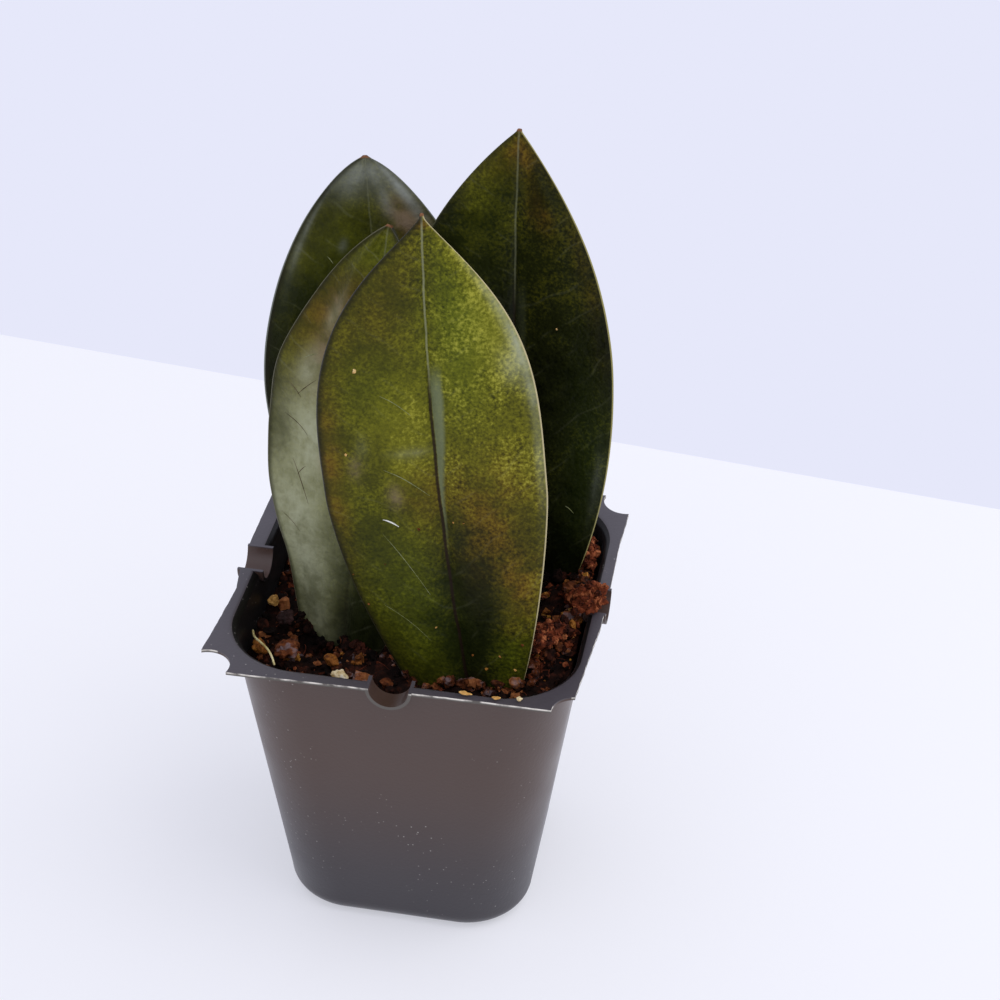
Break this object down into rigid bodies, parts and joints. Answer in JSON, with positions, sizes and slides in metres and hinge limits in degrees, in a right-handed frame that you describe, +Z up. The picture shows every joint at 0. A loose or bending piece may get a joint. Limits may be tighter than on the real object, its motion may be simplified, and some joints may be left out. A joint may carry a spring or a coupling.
{
  "type": "potted zz plant",
  "caption": "Young zz plant: broad pointed leaves standing upright in a thin square nursery pot filled with damp coir and bark mix.",
  "frame": {"origin": "centre of the pot's base, on the surface that it stands on", "axes": "+Z up, -Y towards the front, where the widest leaf faces, +X to the right seen from the front"},
  "size_m": [0.0681, 0.0678, 0.1488],
  "materials": {
    "nursery_plastic": "thin vacuum-formed charcoal plastic, satin",
    "leaf_skin": "thick waxy leaf, dark olive green, satin",
    "potting_soil": "damp coir and fine bark, matt",
    "coir": "fibrous red-brown coir, matt",
    "bark": "weathered brown bark, matt",
    "pale_bark": "fresh ochre bark, matt",
    "perlite": "stained perlite, matt",
    "root": "pale dry root"
  },
  "bodies": {
    "root": {"pot": "nursery_plastic", "soil": "potting_soil", "leaf_front": "leaf_skin", "leaf_left": "leaf_skin", "leaf_back_left": "leaf_skin", "leaf_back_right": "leaf_skin", "root_strand": "root", "coir_clump_rim": "coir", "coir_clump_front_right": "coir", "coir_clump_back_right": "coir", "bark_nugget_left": "pale_bark", "bark_nugget_middle": "pale_bark", "bark_sliver_front": "pale_bark", "bark_sliver_front_right": "pale_bark", "bark_chip_left_back": "bark", "bark_chip_left": "bark", "bark_chunk_corner": "bark", "bark_chunk_front_left": "bark", "bark_chip_front": "bark", "bark_chip_right": "bark", "bark_chip_back": "bark", "bark_chunk_back_left": "bark", "perlite_grain_front": "perlite", "perlite_crumb_front": "perlite"}
  },
  "joints": []
}
